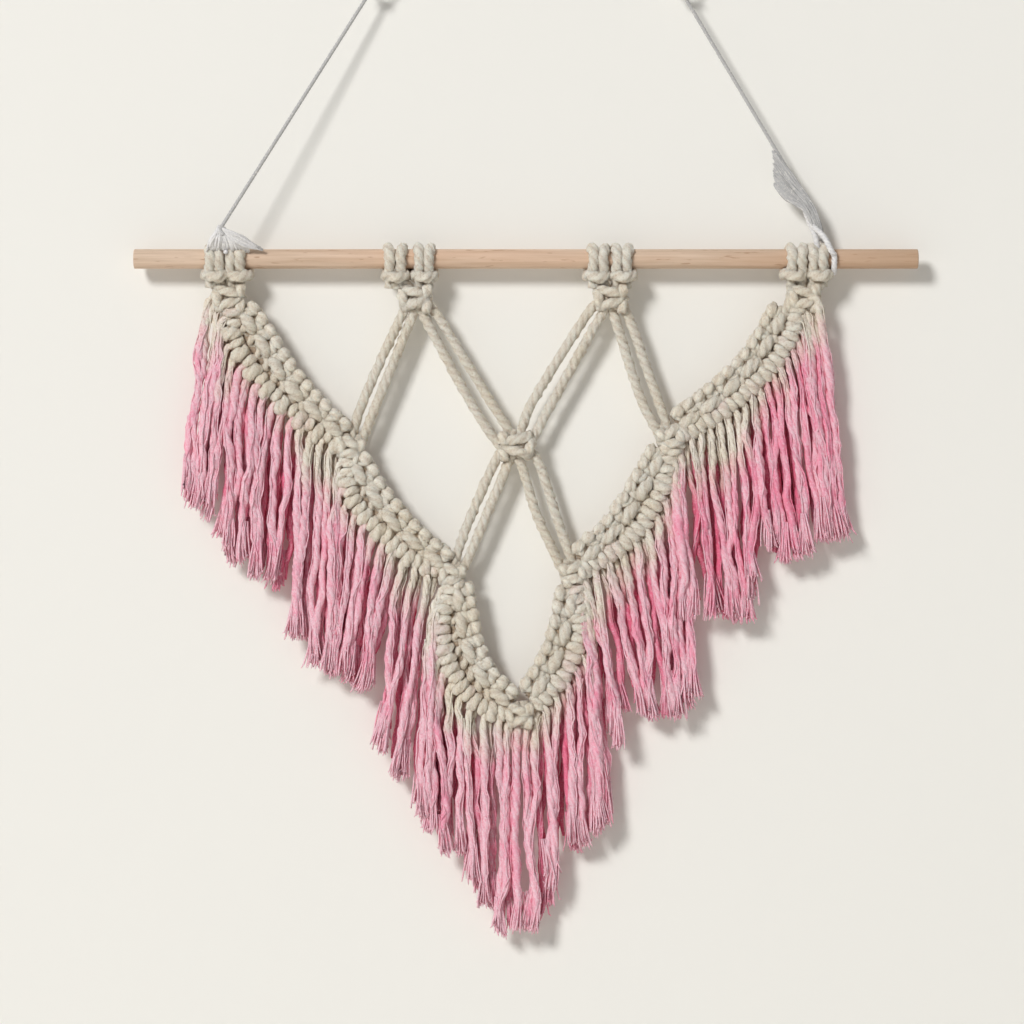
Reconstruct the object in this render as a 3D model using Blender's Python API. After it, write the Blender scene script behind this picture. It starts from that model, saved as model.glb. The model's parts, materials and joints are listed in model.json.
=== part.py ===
"""Macrame wall hanging on a wooden dowel, hung by two twine legs.

Frame: metres, +Z up, +X along the dowel, the front faces -Y.
The origin lies midway between the two hanging loops at the top of the twine.
Below it, "drop" is the distance under the dowel's axis, in millimetres.
"""
import math
from collections import namedtuple

import bmesh
import bpy
from mathutils import Matrix, Vector

MM = 0.001
GAP = 0.3                 # mm left between pieces that touch

# Dowel and the cord that is knotted on it, in millimetres
DOWEL_LENGTH = 400.0
DOWEL_RADIUS = 5.0
DOWEL_CHAMFER = 0.6
CORD_RADIUS = 2.4
TWINE_RADIUS = 1.0

# Hanging twine, in millimetres
LOOP_ABOVE_DOWEL = 146.0  # the eyes of the hanging loops above the dowel's axis
LOOP_SPREAD = 157.0       # the distance between the two eyes
EYE_RADIUS = 5.0
EYE_STRETCH = 1.35
EYE_KNOT_RADIUS = 2.5

# Lark's heads on the dowel and the square knots under them
LARK_WIDTH = 10.0
LARK_THICKNESS = 4.6
BAR_SIZE = (11.6, 6.0, 6.4)
BAR_Y = -5.4
BAR_DROP = 10.2
HEAD_KNOT_SIZE = (18.0, 11.0, 11.6)
HEAD_KNOT_DROP = 19.9

# Knotted rows of the two bands
ROW_RADIUS = 5.2
ROW_END_RADIUS = 2.9
HITCH_PITCH = 9.5         # one double half hitch along an outer row
SINNET_PITCH = 14.3       # one square knot along an inner row

# Fringe combs
COMB_THICKNESS = 9.0
COMB_CLEARANCE = 0.6
SLIT_WIDTH = 1.4
SLIT_START = 0.3          # share of a tooth's length that stays joined above the slit

CREAM = (0.72, 0.67, 0.55)
PINK = (0.83, 0.35, 0.48)
TWINE_WHITE = (0.80, 0.79, 0.76)
BEECH = (0.68, 0.45, 0.30)

Head = namedtuple("Head", "number lark_a_x lark_b_x knot_x")
HEADS = (
    Head(1, -158.4, -146.2, -150.6),
    Head(2, -66.2, -51.6, -56.1),
    Head(3, 36.8, 49.3, 42.9),
    Head(4, 137.2, 149.4, 142.1),
)

Strand = namedtuple("Strand", "name x0 drop0 x_mid drop_mid x1 drop1")
NET = (
    Strand("net_upper_left_a", -64.0, 27.6, -82.0, 70.0, -88.6, 89.6),
    Strand("net_upper_left_b", -57.8, 28.0, -74.6, 70.0, -81.7, 90.2),
    Strand("net_middle_left_a", -52.4, 28.0, -28.9, 72.0, -16.6, 91.4),
    Strand("net_middle_left_b", -46.4, 26.4, -19.2, 71.0, -9.9, 85.7),
    Strand("net_middle_right_a", 32.6, 25.8, 4.4, 71.0, -1.7, 85.4),
    Strand("net_middle_right_b", 38.6, 28.2, 14.0, 71.9, 5.2, 89.4),
    Strand("net_upper_right_a", 44.6, 28.0, 58.2, 70.0, 65.9, 85.6),
    Strand("net_upper_right_b", 51.0, 27.0, 64.6, 64.0, 71.4, 83.0),
    Strand("net_lower_left_a", -15.8, 102.9, -29.6, 135.0, -35.6, 152.8),
    Strand("net_lower_left_b", -9.2, 104.8, -20.2, 130.6, -29.2, 153.2),
    Strand("net_lower_right_a", -2.5, 105.0, 5.8, 130.6, 15.6, 152.4),
    Strand("net_lower_right_b", 6.2, 103.4, 15.4, 130.6, 22.4, 151.6),
)

Knot = namedtuple("Knot", "name x drop width height depth turn")
KNOTS = (
    Knot("knot_centre", -4.6, 95.4, 19.0, 12.0, 11.0, 0.0),
    Knot("knot_left_upper", -88.3, 97.6, 9.6, 9.0, 10.0, 40.0),
    Knot("knot_left_lower", -37.0, 161.8, 9.6, 8.6, 10.0, 55.0),
    Knot("knot_bottom", -3.3, 232.6, 8.0, 8.4, 10.0, 0.0),
    Knot("knot_right_lower", 23.7, 160.4, 9.0, 8.6, 10.0, -55.0),
    Knot("knot_right_upper", 73.0, 91.8, 9.0, 9.0, 10.0, -45.0),
)

Row = namedtuple("Row", "side tier kind x0 drop0 x1 drop1 sag")
ROWS = (
    Row("left", 1, "outer", -148.9, 29.3, -95.6, 96.6, 10.7),
    Row("left", 1, "inner", -140.0, 28.4, -92.4, 86.8, 3.6),
    Row("left", 2, "outer", -90.8, 107.6, -45.2, 160.6, 11.7),
    Row("left", 2, "inner", -82.2, 104.6, -41.4, 151.6, 3.8),
    Row("left", 3, "outer", -40.2, 170.4, -11.6, 233.4, 15.0),
    Row("left", 3, "inner", -31.0, 169.0, -8.3, 224.0, 7.0),
    Row("right", 1, "outer", 139.6, 29.0, 79.6, 90.8, 11.7),
    Row("right", 1, "inner", 130.6, 28.2, 77.4, 81.0, 5.6),
    Row("right", 2, "outer", 74.2, 102.2, 29.8, 161.4, 11.0),
    Row("right", 2, "inner", 65.2, 100.6, 27.4, 151.8, 4.0),
    Row("right", 3, "outer", 28.0, 170.6, 5.2, 232.6, 9.4),
    Row("right", 3, "inner", 18.8, 169.2, 0.2, 224.4, 3.6),
)

# A comb hangs from the outer row of its tier, between two shares of that row's length.
# Its two upper corners lie beside the neighbouring knots, and each tip ends one tooth.
Comb = namedtuple("Comb", "side tier first last corner_first corner_last tips")
COMBS = (
    Comb("left", 1, 0.06, 0.93, (-161.6, 28.0), (-99.4, 104.0),
         ((-171.0, 121.0), (-161.5, 138.0), (-151.5, 156.0), (-141.5, 170.0),
          (-129.5, 174.0), (-118.0, 203.0), (-108.0, 212.0), (-99.6, 216.0))),
    Comb("left", 2, 0.12, 0.86, (-97.6, 108.0), (-51.4, 167.0),
         ((-90.0, 221.0), (-82.5, 228.0), (-75.5, 250.0), (-68.0, 271.0),
          (-60.5, 277.0), (-53.2, 289.0))),
    Comb("left", 3, 0.18, 0.94, (-49.6, 176.0), (-4.0, 240.4),
         ((-43.6, 306.0), (-34.0, 309.0), (-26.0, 322.0), (-17.0, 344.0),
          (-8.4, 346.0))),
    Comb("right", 3, 0.10, 0.90, (36.0, 172.0), (-2.8, 240.4),
         ((33.0, 298.0), (25.4, 304.0), (17.5, 309.0), (9.0, 344.0), (1.0, 345.0))),
    Comb("right", 2, 0.08, 0.84, (80.6, 106.0), (37.2, 166.0),
         ((76.0, 236.0), (68.5, 240.0), (60.5, 242.0), (52.5, 241.0), (44.8, 264.0))),
    Comb("right", 1, 0.05, 0.92, (150.6, 28.0), (82.0, 101.0),
         ((163.0, 132.0), (154.4, 145.0), (145.0, 150.0), (134.6, 158.0),
          (124.4, 156.0), (113.6, 189.0), (103.4, 187.0), (93.6, 188.0),
          (84.8, 186.0))),
)


def place(x, drop, y=0.0):
    """A point in metres from millimetres along, below and in front of the dowel's middle."""
    return Vector((x, y, -(LOOP_ABOVE_DOWEL + drop))) * MM


def start_scene():
    for item in list(bpy.data.objects):
        bpy.data.objects.remove(item, do_unlink=True)


def make_collection(name):
    collection = bpy.data.collections.new(name)
    bpy.context.scene.collection.children.link(collection)
    return collection


def make_material(name, colour, roughness):
    material = bpy.data.materials.new(name)
    material.use_nodes = True
    shader = material.node_tree.nodes["Principled BSDF"]
    shader.inputs["Base Color"].default_value = (*colour, 1.0)
    shader.inputs["Roughness"].default_value = roughness
    shader.inputs["Metallic"].default_value = 0.0
    return material


def add_object(name, data, material, collection):
    item = bpy.data.objects.new(name, data)
    data.materials.append(material)
    collection.objects.link(item)
    return item


def finish_mesh(name, shape, material, collection, smooth=True):
    """Turns a bmesh into a node, with its faces pointing out."""
    bmesh.ops.recalc_face_normals(shape, faces=shape.faces)
    mesh = bpy.data.meshes.new(name)
    shape.to_mesh(mesh)
    shape.free()
    if smooth:
        mesh.shade_smooth()
    return add_object(name, mesh, material, collection)


def smooth_route(points, count):
    """Evenly counted points on a smooth curve through the given ones."""
    chain = [2 * points[0] - points[1], *points, 2 * points[-1] - points[-2]]
    route = []
    for step in range(count):
        place_on = step / (count - 1) * (len(points) - 1)
        index = min(int(place_on), len(points) - 2)
        t = place_on - index
        before, start, end, after = chain[index:index + 4]
        route.append(0.5 * (2 * start + (end - before) * t
                            + (2 * before - 5 * start + 4 * end - after) * t ** 2
                            + (3 * start - before - 3 * end + after) * t ** 3))
    return route


def add_tube(name, route, radius, material, collection, swell=None, cyclic=False):
    """A poly curve with a round bevel; swell gives each point's share of the radius."""
    curve = bpy.data.curves.new(name, "CURVE")
    curve.dimensions = "3D"
    curve.bevel_depth = radius * MM
    curve.bevel_resolution = 2
    curve.use_fill_caps = True
    spline = curve.splines.new("POLY")
    spline.points.add(len(route) - 1)
    spline.use_cyclic_u = cyclic
    for index, point in enumerate(route):
        spline.points[index].co = (*point, 1.0)
        spline.points[index].radius = swell[index] if swell else 1.0
    return add_object(name, curve, material, collection)


def curve_to_mesh(item):
    """Swaps a curve object for a mesh object with welded caps."""
    depsgraph = bpy.context.evaluated_depsgraph_get()
    mesh = bpy.data.meshes.new_from_object(item.evaluated_get(depsgraph))
    shape = bmesh.new()
    shape.from_mesh(mesh)
    bmesh.ops.remove_doubles(shape, verts=shape.verts, dist=0.00001)
    shape.to_mesh(mesh)
    shape.free()
    name, collection, material = item.name, item.users_collection[0], item.data.materials[0]
    bpy.data.objects.remove(item, do_unlink=True)
    mesh.materials.clear()
    return add_object(name, mesh, material, collection)


def unite(item, others):
    """Boolean union of the others into the item; they stay as hidden cutters."""
    for other in others:
        for collection in other.users_collection:
            collection.objects.unlink(other)
        CUTTERS.objects.link(other)
        other.hide_render = True
        other.display_type = "WIRE"
        union = item.modifiers.new("union", "BOOLEAN")
        union.operation = "UNION"
        union.solver = "EXACT"
        union.object = other


def add_ellipsoid(name, centre, size, turn, material, collection, segments=12, rings=7):
    """An ellipsoid of the given width, depth and height, turned about Y in degrees."""
    shape = bmesh.new()
    bmesh.ops.create_uvsphere(shape, u_segments=segments, v_segments=rings, radius=0.5)
    bmesh.ops.scale(shape, vec=Vector(size) * MM, verts=shape.verts)
    bmesh.ops.rotate(shape, matrix=Matrix.Rotation(math.radians(turn), 3, "Y"),
                     verts=shape.verts)
    bmesh.ops.translate(shape, vec=centre, verts=shape.verts)
    return finish_mesh(name, shape, material, collection)


def add_dowel(material, collection):
    shape = bmesh.new()
    bmesh.ops.create_cone(shape, cap_ends=True, segments=28, radius1=DOWEL_RADIUS * MM,
                          radius2=DOWEL_RADIUS * MM, depth=DOWEL_LENGTH * MM)
    rims = [edge for edge in shape.edges
            if abs(edge.verts[0].co.z) > 0.4 * DOWEL_LENGTH * MM
            and abs(edge.verts[0].co.z - edge.verts[1].co.z) < 1e-6]
    bmesh.ops.bevel(shape, geom=rims, offset=DOWEL_CHAMFER * MM, segments=2, profile=0.5,
                    affect="EDGES", clamp_overlap=True)
    bmesh.ops.rotate(shape, matrix=Matrix.Rotation(math.radians(90.0), 3, "Y"),
                     verts=shape.verts)
    bmesh.ops.translate(shape, vec=place(0.0, 0.0), verts=shape.verts)
    dowel = finish_mesh("dowel", shape, material, collection)
    dowel.data.set_sharp_from_angle(angle=math.radians(40.0))
    return dowel


def add_lark_head(name, x, material, collection):
    """A pair of legs round the dowel, spun from their rounded section, and its front bar."""
    inner = DOWEL_RADIUS + GAP
    half = LARK_WIDTH / 2
    crown = LARK_THICKNESS / 2
    section = (
        (-half + 0.8, inner), (half - 0.8, inner), (half, inner + crown),
        (half - 1.6, inner + LARK_THICKNESS), (-half + 1.6, inner + LARK_THICKNESS),
        (-half, inner + crown),
    )
    shape = bmesh.new()
    corners = [shape.verts.new(Vector((across, 0.0, out)) * MM) for across, out in section]
    edges = [shape.edges.new((corners[i - 1], corners[i])) for i in range(len(corners))]
    bmesh.ops.spin(shape, geom=edges, cent=(0, 0, 0), axis=(1, 0, 0),
                   angle=math.tau, steps=18, use_merge=True, use_normal_flip=False,
                   use_duplicate=False)
    bmesh.ops.remove_doubles(shape, verts=shape.verts, dist=0.00001)
    bmesh.ops.translate(shape, vec=place(x, 0.0), verts=shape.verts)
    ring = finish_mesh(name, shape, material, collection)
    bar = add_ellipsoid(name + "_bar", place(x, BAR_DROP, BAR_Y), BAR_SIZE, 0.0,
                        material, collection, segments=10, rings=6)
    unite(ring, [bar])


def add_heads(material, collection):
    for head in HEADS:
        for letter, x in (("a", head.lark_a_x), ("b", head.lark_b_x)):
            add_lark_head(f"lark_head_{head.number}{letter}", x, material, collection)
        add_ellipsoid(f"head_knot_{head.number}", place(head.knot_x, HEAD_KNOT_DROP),
                      HEAD_KNOT_SIZE, 0.0, material, collection)


def add_net(material, collection):
    for strand in NET:
        route = smooth_route([place(strand.x0, strand.drop0),
                              place(strand.x_mid, strand.drop_mid),
                              place(strand.x1, strand.drop1)], 6)
        add_tube(strand.name, route, CORD_RADIUS, material, collection)
    for knot in KNOTS:
        add_ellipsoid(knot.name, place(knot.x, knot.drop),
                      (knot.width, knot.depth, knot.height), knot.turn,
                      material, collection)


def row_point(row, share):
    """A point (x, drop) on a row's sagging arc, and the outward direction there."""
    run = Vector((row.x1 - row.x0, row.drop1 - row.drop0))
    away = Vector((-run.y, run.x)).normalized()
    if (away.x > 0) != (row.side == "right"):
        away = -away
    point = Vector((row.x0, row.drop0)) + share * run
    point += 4 * row.sag * share * (1 - share) * away
    slope = run + 4 * row.sag * (1 - 2 * share) * away
    outward = Vector((-slope.y, slope.x)).normalized()
    if outward.dot(away) < 0:
        outward = -outward
    return point, outward


def add_rows(material, collection):
    """Each row is a tube that swells once for each knot and narrows to its ends."""
    for row in ROWS:
        length = math.hypot(row.x1 - row.x0, row.drop1 - row.drop0)
        pitch = HITCH_PITCH if row.kind == "outer" else SINNET_PITCH
        knots = max(3, round(length / pitch))
        steps = 2 * knots
        route = []
        swell = []
        for step in range(steps + 1):
            point, _ = row_point(row, step / steps)
            route.append(place(point.x, point.y))
            taper = min(1.0, min(step, steps - step) / 2.0)
            full = 1.0 if step % 2 else 0.86
            end = ROW_END_RADIUS / ROW_RADIUS
            swell.append(end + (full - end) * taper)
        add_tube(f"band_{row.side}_{row.tier}_{row.kind}", route, ROW_RADIUS, material,
                 collection, swell=swell)


def slit_side(root, foot, drop, offset):
    """Where a slit from its root through its foot passes a tip's drop, moved sideways."""
    share = (drop - root.y) / (foot.y - root.y)
    return Vector((root.x + share * (foot.x - root.x) + offset, drop))


def comb_outline(comb, row):
    """The closed outline of a comb: under its row, then tooth by tooth back again."""
    teeth = len(comb.tips)
    tips = [Vector(tip) for tip in comb.tips]
    onward = 1 if tips[-1].x > tips[0].x else -1
    away = ROW_RADIUS + COMB_CLEARANCE
    upper = []
    for step in range(teeth + 1):
        share = comb.first + (comb.last - comb.first) * step / teeth
        point, outward = row_point(row, share)
        upper.append(point + away * outward)
    slits = []
    for index in range(1, teeth):
        foot = (tips[index - 1] + tips[index]) / 2
        slits.append((upper[index].lerp(foot, SLIT_START), foot))
    half = SLIT_WIDTH / 2 * onward
    lower = []
    for index in reversed(range(teeth)):
        drop = tips[index].y
        if index == teeth - 1:
            lower.append(tips[index] + (tips[index] - slits[-1][1]) * Vector((1, 0)))
        else:
            lower.append(slit_side(*slits[index], drop, -half))
        if index == 0:
            lower.append(tips[index] + (tips[index] - slits[0][1]) * Vector((1, 0)))
        else:
            lower.append(slit_side(*slits[index - 1], drop, half))
            lower.append(slits[index - 1][0])
    return [Vector(comb.corner_first), *upper, Vector(comb.corner_last), *lower]


def add_combs(material, collection):
    outer = {(row.side, row.tier): row for row in ROWS if row.kind == "outer"}
    for comb in COMBS:
        outline = comb_outline(comb, outer[comb.side, comb.tier])
        name = f"fringe_{comb.side}_{comb.tier}"
        curve = bpy.data.curves.new(name, "CURVE")
        curve.dimensions = "2D"
        curve.fill_mode = "BOTH"
        curve.extrude = COMB_THICKNESS / 2 * MM
        spline = curve.splines.new("POLY")
        spline.points.add(len(outline) - 1)
        spline.use_cyclic_u = True
        for index, point in enumerate(outline):
            height = -(LOOP_ABOVE_DOWEL + point.y)
            spline.points[index].co = (point.x * MM, height * MM, 0.0, 1.0)
        item = add_object(name, curve, material, collection)
        item.rotation_euler = (math.radians(90.0), 0.0, 0.0)


def add_left_tie(material, collection):
    """Twine round the dowel beside the first lark's head, knotted in front of its top."""
    ring = add_tube("twine_tie_left", ring_route(-165.4), TWINE_RADIUS, material,
                    collection, cyclic=True)
    ring = curve_to_mesh(ring)
    link = add_tube("tie_left_link", smooth_route([
        place(-165.4, -4.4, -4.8), place(-162.0, -8.2, -10.4),
        place(-156.0, -10.4, -12.0)], 6), TWINE_RADIUS, material, collection)
    tail = add_tube("tie_left_tail", smooth_route([
        place(-146.0, -9.4, -12.2), place(-138.4, -6.8, -11.4),
        place(-133.6, -3.8, -8.0)], 6), TWINE_RADIUS, material, collection,
        swell=[1.0, 1.1, 1.2, 1.3, 1.4, 1.3])
    knot = add_ellipsoid("tie_left_knot", place(-151.0, -9.4, -13.6), (15.0, 6.0, 7.0),
                         6.0, material, collection, segments=10, rings=6)
    unite(ring, [curve_to_mesh(link), knot, curve_to_mesh(tail)])


def ring_route(x, count=16):
    """Points round the dowel at one place along it."""
    reach = DOWEL_RADIUS + GAP + TWINE_RADIUS
    turns = [math.tau * step / count for step in range(count)]
    return [place(x, -reach * math.cos(turn), reach * math.sin(turn)) for turn in turns]


def add_right_tie(material, collection):
    """A noose of twine: one leg over the dowel's front, one behind, and a knot above."""
    reach = DOWEL_RADIUS + GAP + TWINE_RADIUS
    under = [place(156.6, -reach * math.cos(turn), -reach * math.sin(turn))
             for turn in (math.radians(value) for value in (75, 110, 145, 180, 215, 250, 285))]
    front = smooth_route([place(145.4, -24.0, -2.0), place(150.6, -16.6, -7.0),
                          place(155.8, -7.6, -7.4)], 6)
    back = smooth_route([place(156.2, -7.2, 8.0), place(151.6, -10.6, 8.0),
                         place(147.2, -15.6, 4.0), place(144.2, -23.0, 1.0)], 7)
    noose = add_tube("twine_tie_right", [*front, *under, *back], TWINE_RADIUS, material,
                     collection, cyclic=True)
    noose = curve_to_mesh(noose)
    knot = add_ellipsoid("tie_right_knot", place(144.0, -26.2, -0.4), (6.4, 6.0, 8.6),
                         -18.0, material, collection, segments=10, rings=6)
    tail = add_tube("tie_right_tail", smooth_route([
        place(143.0, -28.6, -2.0), place(136.0, -33.8, -3.6), place(131.4, -32.6, -4.4),
        place(126.4, -35.6, -4.0)], 7), TWINE_RADIUS, material, collection,
        swell=[1.0, 1.0, 1.1, 1.3, 1.5, 1.4, 1.0])
    unite(noose, [knot, curve_to_mesh(tail)])


def add_hanger(material, collection):
    """Two taut legs of twine, each from its tie on the dowel to its own hanging loop."""
    add_left_tie(material, collection)
    add_right_tie(material, collection)
    starts = {"left": place(-155.2, -14.4, -12.6), "right": place(141.6, -31.9, -0.2)}
    for side, sign in (("left", -1), ("right", 1)):
        eye = place(sign * LOOP_SPREAD / 2, -LOOP_ABOVE_DOWEL)
        knot_centre = eye - Vector((0.0, 0.0, (EYE_RADIUS * EYE_STRETCH + 1.5) * MM))
        way = (knot_centre - starts[side]).normalized()
        end = knot_centre - way * (EYE_KNOT_RADIUS + GAP) * MM
        add_tube(f"twine_leg_{side}", smooth_route([starts[side], end], 24),
                 TWINE_RADIUS, material, collection)
        reach = EYE_RADIUS + TWINE_RADIUS
        turns = [math.tau * step / 16 for step in range(16)]
        loop = add_tube(f"twine_loop_{side}", [
            eye + Vector((reach * math.sin(turn), 0.0, EYE_STRETCH * reach * math.cos(turn)))
            * MM for turn in turns], TWINE_RADIUS, material, collection, cyclic=True)
        loop = curve_to_mesh(loop)
        knot = add_ellipsoid(f"loop_{side}_knot", knot_centre,
                             (2 * EYE_KNOT_RADIUS,) * 3, 0.0, material, collection,
                             segments=10, rings=6)
        unite(loop, [knot])


def main():
    cotton = make_material("cotton_cord", CREAM, 0.9)
    dyed = make_material("dyed_fringe", PINK, 0.9)
    twine = make_material("hanging_twine", TWINE_WHITE, 0.85)
    beech = make_material("beech", BEECH, 0.6)
    add_dowel(beech, PARTS)
    add_heads(cotton, PARTS)
    add_net(cotton, PARTS)
    add_rows(cotton, PARTS)
    add_combs(dyed, PARTS)
    add_hanger(twine, PARTS)


start_scene()
PARTS = make_collection("macrame_wall_hanging")
CUTTERS = make_collection("cutters")
main()
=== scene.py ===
# %% [markdown]
# # A macrame wall hanging
# The hanging is cotton cord knotted on a beech dowel, with a dip-dyed fringe.
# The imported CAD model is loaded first. It gives the frame, the size and the dowel itself.
# Everything soft is modelled again here, strand by strand, in the place of its plain CAD solid.

# %% Load the frame and keep its box
import json
import random
from collections import namedtuple
from math import cos, pi, radians, sin, sqrt, tau

import bmesh
import bpy
import numpy as np
from mathutils import Matrix, Vector

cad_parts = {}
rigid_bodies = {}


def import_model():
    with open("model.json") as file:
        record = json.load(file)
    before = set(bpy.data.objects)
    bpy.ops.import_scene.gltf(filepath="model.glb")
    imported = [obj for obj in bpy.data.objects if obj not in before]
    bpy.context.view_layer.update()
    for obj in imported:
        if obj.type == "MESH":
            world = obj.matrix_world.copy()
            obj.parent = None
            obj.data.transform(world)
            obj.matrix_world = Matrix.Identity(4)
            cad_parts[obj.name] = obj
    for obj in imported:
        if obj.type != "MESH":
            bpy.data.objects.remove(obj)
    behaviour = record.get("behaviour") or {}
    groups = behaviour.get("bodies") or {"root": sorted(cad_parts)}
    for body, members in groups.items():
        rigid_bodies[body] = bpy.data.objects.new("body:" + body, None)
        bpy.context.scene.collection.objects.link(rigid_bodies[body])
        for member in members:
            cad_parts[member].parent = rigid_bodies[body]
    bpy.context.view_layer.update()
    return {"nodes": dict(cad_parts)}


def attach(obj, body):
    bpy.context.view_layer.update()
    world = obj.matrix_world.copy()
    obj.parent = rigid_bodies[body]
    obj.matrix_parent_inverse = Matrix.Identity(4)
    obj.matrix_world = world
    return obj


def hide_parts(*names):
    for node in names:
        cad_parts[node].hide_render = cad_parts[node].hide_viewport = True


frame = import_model()
scene = bpy.context.scene
MM = 0.001
HANG_TO_DOWEL = 146.0  # mm from the hanging loops down to the dowel's axis


# %% Measure in millimetres from the dowel
def place(x, y, drop):
    """Metres from millimetres to the right, to the back, and down from the dowel's axis."""
    return Vector((x, y, -(HANG_TO_DOWEL + drop))) * MM


def add_object(name, data):
    """A new object in the scene, at the origin."""
    item = bpy.data.objects.new(name, data)
    scene.collection.objects.link(item)
    return item


def add_mesh(name, shape):
    """A new object whose mesh is a finished bmesh shape."""
    mesh = bpy.data.meshes.new(name)
    shape.to_mesh(mesh)
    shape.free()
    return add_object(name, mesh)


print("the dowel's middle is at", place(0, 0, 0)[:])

# %% [markdown]
# ## The camera
# A wall hanging is looked at from straight ahead. A long lens from a little over two metres
# keeps the dowel straight and shows the cords without much perspective.
# The view's width is set at the cloth itself, and the lens follows from it.

# %% Camera
VIEW_WIDTH = 522.4  # mm across the view at the hanging
VIEW_CENTRE = (-7.1, 129.1)
CAMERA_AWAY = 2200.0
camera = bpy.data.cameras.new("camera")
camera.sensor_width = 36.0
camera.lens = camera.sensor_width * CAMERA_AWAY / VIEW_WIDTH
camera_object = add_object("camera", camera)
camera_object.location = place(VIEW_CENTRE[0], -CAMERA_AWAY, VIEW_CENTRE[1])
camera_object.rotation_euler = (radians(90.0), 0.0, 0.0)
scene.camera = camera_object
print("lens:", round(camera.lens, 1), "mm")

# %% [markdown]
# ## How a twisted cord is made
# Macrame cord is three plies twisted round each other. It could be three tubes on a helix,
# but one curve with a three-lobed bevel profile needs fewer faces: each point is turned a
# little further than the last, so the lobes wind round it as plies do.
# Every vertex also remembers where it would lie if the cord were straight, so fibres drawn in
# that straight space follow every bend.

# %% A smooth, evenly stepped route
def distances(route):
    """The distance of each point along a route, in mm."""
    steps = np.linalg.norm(np.diff(route[:, :3], axis=0), axis=1)
    return np.concatenate([[0.0], np.cumsum(steps)])


def smooth_route(points, step):
    """Even steps along a smooth curve through points of x, y, drop and, if given, radius."""
    knots = np.array(points, float)
    knots = np.vstack([2 * knots[0] - knots[1], knots, 2 * knots[-1] - knots[-2]])
    t = np.linspace(0.0, 1.0, 10, endpoint=False)[:, None]
    runs = [0.5 * (2 * b + (c - a) * t + (2 * a - 5 * b + 4 * c - d) * t ** 2
                   + (3 * b - a - 3 * c + d) * t ** 3)
            for a, b, c, d in zip(knots, knots[1:], knots[2:], knots[3:])]
    dense = np.vstack([*runs, knots[-2:-1]])
    along = distances(dense)
    stops = np.linspace(0.0, along[-1], max(4, round(along[-1] / step) + 1))
    return np.stack([np.interp(stops, along, column) for column in dense.T], axis=1)


print("a quarter turn of 10 mm:", len(smooth_route([(0, 0, 0), (7, 0, 3), (10, 0, 10)], 1.0)))

# %% Bevel profiles
Profile = namedtuple("Profile", "item angles radii creases")


def make_profile(name, outline):
    """A closed bevel profile of unit size from rows of (angle in degrees, radius, crease)."""
    curve = bpy.data.curves.new(name, "CURVE")
    curve.dimensions = "2D"
    spline = curve.splines.new("POLY")
    spline.points.add(len(outline) - 1)
    spline.use_cyclic_u = True
    angles, radii, creases = np.array(outline).T
    angles = np.radians(angles)
    for point, angle, radius in zip(spline.points, angles, radii):
        point.co = (radius * cos(angle), radius * sin(angle), 0.0, 1.0)
    return Profile(add_object(name, curve), angles, radii, creases)


def lobes(crease):
    """Three rounded lobes, whose creases lie at a share of the radius."""
    flank = 0.5 + crease / 2 + 0.03
    lobe = ((-51.0, crease, 1.0), (-28.0, flank, 0.3), (0.0, 1.0, 0.0), (28.0, flank, 0.3),
            (51.0, crease, 1.0))
    return [(120.0 * ply + angle, radius, depth) for ply in range(3)
            for angle, radius, depth in lobe]


three_ply = make_profile("three_ply", lobes(0.85))
loose_ply = make_profile("loose_ply", lobes(0.83))
yarn = make_profile("yarn", [(90.0 * side, 1.0, 0.0) for side in range(4)])
print("points round a cord and a yarn:", [len(p.angles) for p in (three_ply, yarn)])

# %% Cords to one mesh piece
# route: points in mm; radius and turn: one value a point; dye: mm from where the dye starts;
# tone: 0 pale to 1 deep, and up to 2 for the fringe's deepest cords; in the fringe the deep tones
# of the back layers are painted shade; shade: how much painted shade darkens a cord that only
# shows through gaps
Cord = namedtuple("Cord", "route radius turn dye tone shade", defaults=(0.0,))
UNDYED = -1000.0
INSIDE = 1.7  # the painted shade of a core
CORD_SHIFT = 37.0  # mm that part the fibres of one cord from those of the next
TONE_SHIFT = 500.0
ROPE_RELIEF = 0.095  # how far fibres stand out, as a share of a cord's radius
FRINGE_RELIEF = 0.1
relief_rng = np.random.default_rng(5)


def twisted(points, radius=2.6, lay=16.0, step=1.2, tone=0.5, dye=None, start_turn=0.0,
            shade=0.0):
    """A cord through the points, turned once, to the left, for every lay of its length."""
    route = smooth_route(points, step)
    along = distances(route)
    size = route[:, 3] if route.shape[1] == 4 else np.full(len(route), float(radius))
    stained = np.full(len(route), UNDYED) if dye is None else along + dye
    return Cord(route[:, :3], size, start_turn - tau * along / lay, stained, tone, shade)


def single_yarn(points, radius, dye, tone):
    """A cord without twist; its dye is one value a point, or one for all."""
    points = np.array(points)
    return Cord(points, radius, np.zeros(len(points)), dye + np.zeros(len(points)), tone)


def fibre_relief(rings, sides, amount):
    """Small ridges and hollows that run along a cord, as shares of its radius."""
    rough = relief_rng.normal(size=(rings + 1, sides))
    rough = (rough[1:] + rough[:-1]) / sqrt(2.0)
    return 1.0 + amount * np.clip(rough, -2.0, 2.0)


def three_each(*values):
    """Rows of three values, one row a vertex, from arrays over a cord's rings and sides."""
    return np.stack(np.broadcast_arrays(*values), axis=2).reshape(-1, 3)


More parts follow.
